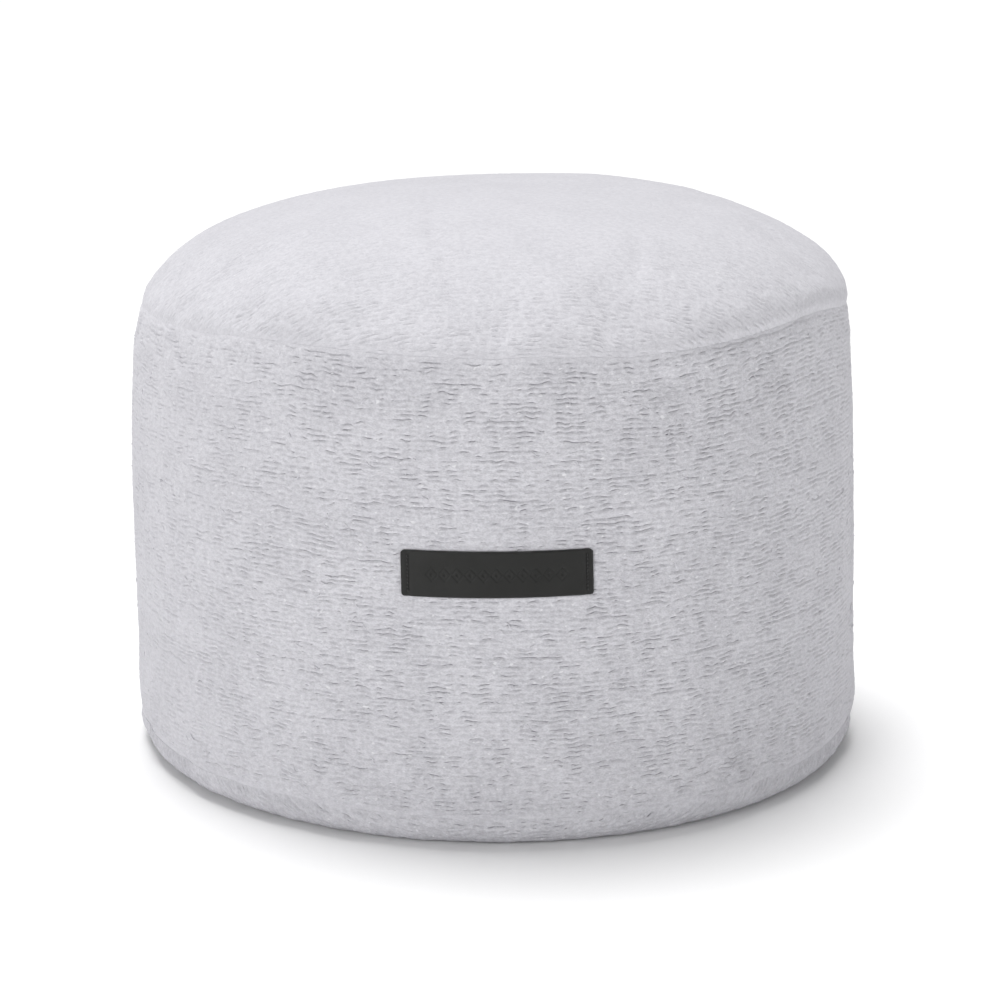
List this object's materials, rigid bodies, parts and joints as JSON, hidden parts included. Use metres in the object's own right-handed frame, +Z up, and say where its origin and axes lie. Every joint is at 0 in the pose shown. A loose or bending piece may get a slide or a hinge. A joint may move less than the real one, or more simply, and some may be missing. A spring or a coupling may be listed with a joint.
{
  "type": "bean bag footstool",
  "caption": "Round filled footstool in off-white bouclé cloth, a crowned drum sewn from panels, with a small black leather patch on the front.",
  "frame": {"origin": "middle of the flat face that rests on the floor", "axes": "+Z up, -Y towards the side that carries the patch, +X to the right when seen from that side"},
  "size_m": [0.5031, 0.5031, 0.383],
  "materials": {
    "cloth": "looped woven bouclé, off-white with a cool tint, matt",
    "patch_leather": "fine-grained imitation leather, black, semi-matt"
  },
  "bodies": {
    "root": {"top_panel": "cloth", "side_panel": "cloth", "base_panel": "cloth", "front_patch": "patch_leather"}
  },
  "joints": []
}
